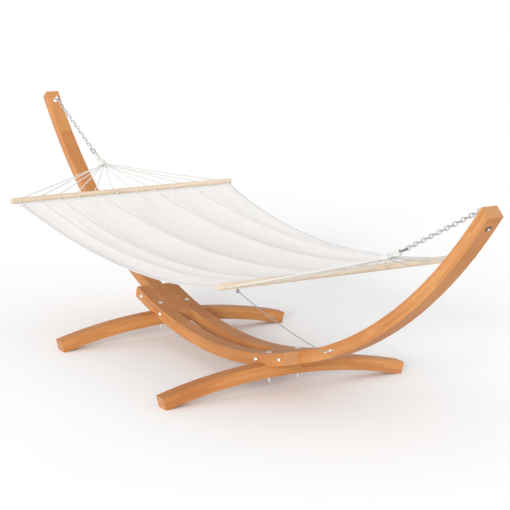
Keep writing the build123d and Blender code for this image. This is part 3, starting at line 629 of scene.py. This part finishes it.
def fold_heights(x, y, width, middle):
    """The long folds: wide troughs between the ridges, and a narrow crease beside each ridge."""
    ridges = [rear + (front - rear) * (x / BED_HALF_LENGTH + 1) / 2 for rear, front in FOLDS]
    edges = [-width, *ridges, width]
    depth = np.zeros_like(x)
    for low, high in zip(edges, edges[1:]):
        t = np.clip((y - low) / np.maximum(high - low, 1e-6), 0, 1)
        skew = t**FOLD_SKEW
        inside = (y >= low) & (y <= high)
        depth = np.where(inside, -4 * skew * (1 - skew) * (high - low) * FOLD_DEPTH, depth)
    pleat = -PLEAT_DEPTH * sum(np.exp(-(((y - ridge) / PLEAT_WIDTH - 1) ** 2)) for ridge in ridges)
    depth = depth * (0.15 + 0.85 * middle) * (1 - 0.8 * smooth_step(np.abs(x), 0.95, 1.04))
    return depth + pleat * (1 - smooth_step(np.abs(x), 0.96, 1.03))


def bed_points(u, v):
    """Points of the cloth. u runs -1 to 1 along the bed and v -1 to 1 across it."""
    u, v = np.broadcast_arrays(np.asarray(u, float), np.asarray(v, float))
    x = u * BED_HALF_LENGTH
    across = v * BED_END_HALF
    x = x - np.sign(u) * end_recess(across) * smooth_step(np.abs(u), 0.93, 1.0)
    width = half_width(x)
    y = v * width
    middle = 1 - smooth_step(np.abs(x), 0.45, 1.03)
    near_end = smooth_step(np.abs(x), 0.75, 1.0)
    bay = trough(across, [-BED_END_HALF, *EYELET_YS, BED_END_HALF])
    z = sag(x) + fold_heights(x, y, width, middle) + bay * BAY_DEPTH * near_end + 0.004 * middle
    z = z + creases(x, y) * (1 - smooth_step(np.abs(x), 0.98, 1.03))
    return np.stack([x, y, z], axis=-1)


def creases(x, y):
    """Faint handling creases, mostly lengthwise."""
    places = zip(np.ravel(x) * CREASE_SCALE[0], np.ravel(y) * CREASE_SCALE[1])
    values = [noise.fractal(Vector((a, b, 0.3)), 1.0, 2.0, 3) for a, b in places]
    return np.reshape(values, np.shape(x)) * CREASE_DEPTH


def span_steps(stops, counts):
    """Increasing positions: evenly spaced between each two stops."""
    out = []
    for low, high, count in zip(stops, stops[1:], counts):
        out.extend(np.linspace(low, high, count, endpoint=False))
    return np.array([*out, stops[-1]])


def bed_grid():
    """The u and v of the cloth's grid, close together round the eyelets."""
    near = 0.009               # half the width of the finer strip through each eyelet
    v_stops = [-BED_END_HALF, *[y + side for y in EYELET_YS for side in (-near, near)], BED_END_HALF]
    v_counts = [4, 6, *[15, 6] * (CORD_COUNT - 1), 2]
    v = span_steps(v_stops, v_counts) / BED_END_HALF
    end_strip = 1 - 0.036 / BED_HALF_LENGTH
    u_half = span_steps([0.0, end_strip, 1.0], [84, 12])
    u = np.r_[-u_half[:0:-1], u_half]
    return u, v


def make_bed():
    """The cloth, open under each eyelet."""
    u, v = bed_grid()
    grid_u, grid_v = np.meshgrid(u, v, indexing="ij")
    points = bed_points(grid_u, grid_v)
    rows, columns = len(u), len(v)
    holes = np.array([(sign * EYELET_X, y) for sign in (1, -1) for y in EYELET_YS])
    faces = []
    for i in range(rows - 1):
        for j in range(columns - 1):
            centre = points[i : i + 2, j : j + 2, :2].mean(axis=(0, 1))
            if np.min(np.hypot(*(holes - centre).T)) < EYELET_OPENING:
                continue
            a = i * columns + j
            faces.append((a + columns, a + columns + 1, a + 1, a))
    bed = mesh_object("bed_canvas", points.reshape(-1, 3), faces, CANVAS)
    thick = bed.modifiers.new("cloth", "SOLIDIFY")
    thick.thickness = FABRIC_THICKNESS
    thick.offset = 0.0
    return bed


def strip_arrays(outer, inner, thickness, rows=4):
    """A folded strip of cloth between two lines of points, standing proud on both faces."""
    count = len(outer)
    t = np.linspace(0, 1, rows)
    crown = np.sqrt(np.clip(1 - (2 * t - 1) ** 4, 0, 1))
    middle = outer[None] * (1 - t)[:, None, None] + inner[None] * t[:, None, None]
    lift = np.array([0, 0, thickness / 2])
    top = middle + crown[:, None, None] * lift
    bottom = middle - crown[:, None, None] * lift
    loop = np.concatenate([top, bottom[-2:0:-1]], axis=0)
    ring = len(loop)
    vertices = loop.transpose(1, 0, 2).reshape(-1, 3)
    faces = []
    for i in range(count - 1):
        for j in range(ring):
            k = (j + 1) % ring
            faces.append((i * ring + j, i * ring + k, (i + 1) * ring + k, (i + 1) * ring + j))
    faces.append(tuple(reversed(range(ring))))
    faces.append(tuple(range((count - 1) * ring, count * ring)))
    if np.cross(outer[1] - outer[0], inner[0] - outer[0])[2] > 0:      # they would face inward
        faces = [tuple(reversed(face)) for face in faces]
    return vertices, faces, np.zeros((len(vertices), 2))


def stitch_arrays(line, lift, stitch=0.0034, gap=0.0014, radius=0.00045):
    """A row of sewing stitches along a line of points."""
    step = 0.0008
    fine = resampled(line, step)
    per = int(round((stitch + gap) / step))
    length = int(round(stitch / step))
    parts = []
    for start in range(0, len(fine) - per, per):
        a, b = fine[start], fine[start + length]
        low, high = np.array([0, 0, lift - radius]), np.array([0, 0, lift + radius * 0.6])
        parts.append(tube_arrays(np.array([a + low, (a + b) / 2 + high, b + low]), radius, 4))
    return joined(parts)


def make_hems():
    """The folded hems round the cloth, with their stitching."""
    pieces = []
    u, v = bed_grid()
    inset = HEM_WIDTH / BED_HALF_LENGTH
    for end, sign in ENDS:
        strip = strip_arrays(bed_points(sign, v), bed_points(sign * (1 - inset), v), HEM_PROUD)
        rows = []
        for share, lift in ((0.16, 0.8), (0.88, 0.7)):
            row = bed_points(sign * (1 - inset * share), v)
            rows.append(stitch_arrays(row, HEM_PROUD / 2 * lift))
        pieces.append(piece_from(f"end_hem_{end}", [strip], HEM_CANVAS))
        pieces.append(piece_from(f"end_stitching_{end}", rows, THREAD_COTTON))
    u = u[2:-2]                # the side hems stop short of the end hems' edge
    inset = SIDE_HEM_WIDTH / BED_END_HALF
    for side, sign in (("left", -1), ("right", 1)):
        strip = strip_arrays(bed_points(u, sign), bed_points(u, sign * (1 - inset)), SIDE_HEM_PROUD)
        row = bed_points(u, sign * (1 - 0.86 * inset))
        pieces.append(piece_from(f"side_hem_{side}", [strip], HEM_CANVAS))
        pieces.append(piece_from(f"side_stitching_{side}", [stitch_arrays(row, 0.0022)], THREAD_COTTON))
    return pieces


# --- cords ------------------------------------------------------------------

ROPE_STEP = 0.0022         # between two points of a laid cord
TIE_STEP = 0.0015
TETHER_STEP = 0.004
NECK_CORD_RADIUS = 0.0027  # a little under the cords' own, as they are pressed together
NECK_SPACING = 0.0034      # of the cords side by side in the ring
KNOT_CORD_RADIUS, KNOT_TAIL_RADIUS, KNOT_PITCH = 0.0024, 0.0023, 0.010
KNOT_SIZE = 0.0014         # a third of the knot's half width
KNOT_DROP = 0.006          # from the cloth down to the knot's middle


def clew_route(index):
    """Control points of one cord of the front clew, tight enough to sag by 3 mm a metre."""
    across = (index - (CORD_COUNT - 1) / 2) * CORD_FAN_PITCH
    layer = CORD_FAN_LAYER if index % 2 else -CORD_FAN_LAYER
    from_middle = abs(index - (CORD_COUNT - 1) / 2)
    start = on_clew(NECK_END_AT - CORD_FAN_STAGGER * from_middle, across, layer)
    end = HOLE_MOUTH + ACROSS * cord_y(index)
    run = end - start
    points = []
    for share, drop in ((0.0, 0.0), (0.25, 0.0022), (0.5, 0.003), (0.75, 0.0022), (1.0, 0.0)):
        points.append(start + run * share - Vector((0, 0, drop * run.length)))
    return points


def make_clew_cords(end, sign):
    """Twelve laid cords from the neck to the bar."""
    for i in range(CORD_COUNT):
        route = mirrored(clew_route(i), sign)
        line = spline_points(route, ROPE_STEP)
        cord = piece_from(f"clew_cord_{end}_{i + 1}", [rope_arrays(line, CORD_RADIUS)], COTTON)
        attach(cord, "hammock")
        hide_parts(f"clew_cords_{end}")


def tie_route(index):
    """Control points of a cord's end: through the bar, over the hem and down through an eyelet."""
    above = EYELET + EYELET_AXIS * ((BAR_Z - EYELET.z) / EYELET_AXIS.z)
    points = [
        HOLE_MOUTH,
        BAR,
        BAR - Vector((BAR_RADIUS, 0, 0)),
        above + Vector((0.009, 0, 0.0004)),
        above + Vector((0.002, 0, 0.0002)),
        EYELET + EYELET_AXIS * 0.0055,
        EYELET,
        EYELET - EYELET_AXIS * 0.005,
    ]
    return [p + ACROSS * cord_y(index) for p in points]


def knot_line(index):
    """An overhand knot under an eyelet, as a closed line."""
    t = np.linspace(0, 2 * pi, 73)[:-1] + index * 0.7
    trefoil = [np.sin(t) + 2 * np.sin(2 * t), np.cos(t) - 2 * np.cos(2 * t), -1.1 * np.sin(3 * t)]
    flat = np.stack(trefoil, axis=1) * KNOT_SIZE
    centre = np.array(EYELET - EYELET_AXIS * KNOT_DROP + ACROSS * cord_y(index))
    return centre + flat @ np.array([ACROSS.cross(EYELET_AXIS), ACROSS, EYELET_AXIS])


def knot_tail(index):
    """The short end left over, lying inward under the cloth."""
    t = np.linspace(0, 1, 10)[:, None]
    start = np.array(EYELET - EYELET_AXIS * 0.0065 + ACROSS * cord_y(index))
    inward = np.array(EYELET_AXIS.cross(ACROSS))
    lean = 0.005 * sin(index * 2.3)
    reach = 0.014 + 0.003 * cos(index * 1.7)
    return start + inward * reach * t + np.array(ACROSS) * lean * t**2


def make_ties(end, sign):
    """The ends of the cords, through the bar to their knots under the cloth."""
    parts = []
    mirror = np.array([sign, 1, 1])
    for i in range(CORD_COUNT):
        line = spline_points(mirrored(tie_route(i), sign), TIE_STEP)
        parts.append(rope_arrays(line, CORD_RADIUS))
        parts.append(rope_arrays(knot_line(i) * mirror, KNOT_CORD_RADIUS, KNOT_PITCH, closed=True))
        parts.append(rope_arrays(knot_tail(i) * mirror, KNOT_TAIL_RADIUS, KNOT_PITCH))
    ties = piece_from(f"ties_{end}", parts, COTTON)
    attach(ties, "hammock")
    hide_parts(f"bed_ties_{end}")


def neck_route(m):
    """One cord of the neck: up one side, round the ring, and down the other side."""
    layer = (m - (CORD_COUNT / 2 - 1) / 2) * NECK_SPACING
    ring_at = RING_CENTRE_AT + sqrt(RING_RADIUS**2 - layer**2)
    turn = RING_WIRE + NECK_CORD_RADIUS     # from the ring's wire to the cord, middle to middle
    middle = (CORD_COUNT - 1) / 2
    left = ((m - middle) * CORD_FAN_PITCH, CORD_FAN_LAYER if m % 2 else -CORD_FAN_LAYER)
    right = (-left[0], -left[1])

    def leg(share, side, foot):
        """A point of one leg: at the ring for a share of 0 and at its foot for a share of 1."""
        mix = share**0.8
        top = side * (turn + 0.001)
        return on_clew(ring_at + (NECK_END_AT - ring_at) * share,
                       top + (foot[0] - top) * mix, layer + (foot[1] - layer) * mix)

    return [
        *[leg(share, -1, left) for share in (1.0, 0.75, 0.45, 0.2)],
        on_clew(ring_at + 0.004, -turn, layer),
        on_clew(ring_at - turn, -turn, layer),
        on_clew(ring_at - turn - 0.001, 0, layer),
        on_clew(ring_at - turn, turn, layer),
        on_clew(ring_at + 0.004, turn, layer),
        *[leg(share, 1, right) for share in (0.2, 0.45, 0.75, 1.0)],
    ]


def make_neck(end, sign):
    """The bundle of cords round the ring and the whipping that holds it."""
    parts = []
    for m in range(CORD_COUNT // 2):
        line = spline_points(mirrored(neck_route(m), sign), ROPE_STEP)
        parts.append(rope_arrays(line, NECK_CORD_RADIUS))
    neck = piece_from(f"neck_{end}", parts, COTTON)
    start, stop, pitch, wire = NECK_END_AT - 0.052, NECK_END_AT - 0.010, 0.0031, 0.0016
    turns = (stop - start) / pitch
    angles = np.linspace(0, 2 * pi * turns, int(turns * 26))
    share = angles / angles[-1]
    wide = 0.0140 + 0.0058 * share + wire      # half the bundle's width, growing toward the bar
    deep = 0.0070 - 0.0004 * share + wire      # half its thickness
    coil = np.array([on_clew(start + (stop - start) * s, a * cos(t), b * sin(t))
                     for s, a, b, t in zip(share, wide, deep, angles)])
    coil *= np.array([sign, 1, 1])
    binding = piece_from(f"whipping_{end}", [tube_arrays(coil, wire, 6)], COTTON)
    for piece, node in ((neck, f"clew_neck_{end}"), (binding, f"neck_binding_{end}")):
        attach(piece, "hammock")
        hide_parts(node)


def make_tether(end, side, sign, across):
    """A thin cord from the eye under the bar to the hook on the arm."""
    route = [Vector((sign * x, across * y, z)) for x, y, z in TETHER_ROUTE]
    line = spline_points(route, TETHER_STEP)
    cord = piece_from(f"tether_{end}_{side}", [tube_arrays(line, TETHER_RADIUS, 10)], TETHER)
    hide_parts(f"tether_{end}_{side}")
    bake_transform(cord)


# --- build ------------------------------------------------------------------

paint_cad_nodes()

bed = make_bed()
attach(bed, "hammock")
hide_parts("bed")
hems = make_hems()
for hem in hems:
    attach(hem, "hammock")

for end, sign in ENDS:
    make_clew_cords(end, sign)
    make_ties(end, sign)
    make_neck(end, sign)
    for side, across in (("left", 1), ("right", -1)):
        make_tether(end, side, sign, across)


# --- stage ------------------------------------------------------------------

FLOOR_HALF = 60.0
KEY_FROM = (0.66, -0.70, 0.28)      # low and from camera-left, so that it reaches under the cloth
KEY_POWER = 2.45
KEY_SOFTNESS = radians(18)
SKY_LIGHT = 0.85


def make_floor():
    """A wide, level, pale floor."""
    corners = [(x * FLOOR_HALF, y * FLOOR_HALF, 0) for x, y in ((-1, -1), (1, -1), (1, 1), (-1, 1))]
    mesh_object("floor", corners, [(0, 1, 2, 3)], floor_material(), smooth=False)


def make_lights():
    """One soft key light and an even white sky, which is pure white where it is seen directly."""
    light = bpy.data.lights.new("key", "SUN")
    light.energy = KEY_POWER
    light.angle = KEY_SOFTNESS
    holder = bpy.data.objects.new("key", light)
    holder.rotation_euler = Vector(KEY_FROM).to_track_quat("Z", "Y").to_euler()
    bpy.context.collection.objects.link(holder)
    world = bpy.data.worlds.new("studio")
    world.use_nodes = True
    tree = world.node_tree
    background = tree.nodes["Background"]
    path = tree.nodes.new("ShaderNodeLightPath")
    background.inputs["Color"].default_value = (1, 1, 1, 1)
    strength = calc(tree, "MAXIMUM", path.outputs["Is Camera Ray"], SKY_LIGHT)
    tree.links.new(strength, background.inputs["Strength"])
    bpy.context.scene.world = world


CAMERA_PLACE = (7.168, -3.851, 2.229)
CAMERA_TURN = radians(60.79)
CAMERA_DIP = radians(11.955)
CAMERA_LENS = 127.3


def make_camera():
    """A camera from the front left, above the floor, with no depth of field."""
    data = bpy.data.cameras.new("camera")
    data.lens = CAMERA_LENS
    data.sensor_width = 36.0
    data.clip_end = 200.0
    camera = bpy.data.objects.new("camera", data)
    camera.location = CAMERA_PLACE
    camera.rotation_euler = Euler((pi / 2 - CAMERA_DIP, 0, CAMERA_TURN))
    bpy.context.collection.objects.link(camera)
    bpy.context.scene.camera = camera


make_floor()
make_lights()
make_camera()
bpy.context.scene.view_settings.view_transform = "Standard"
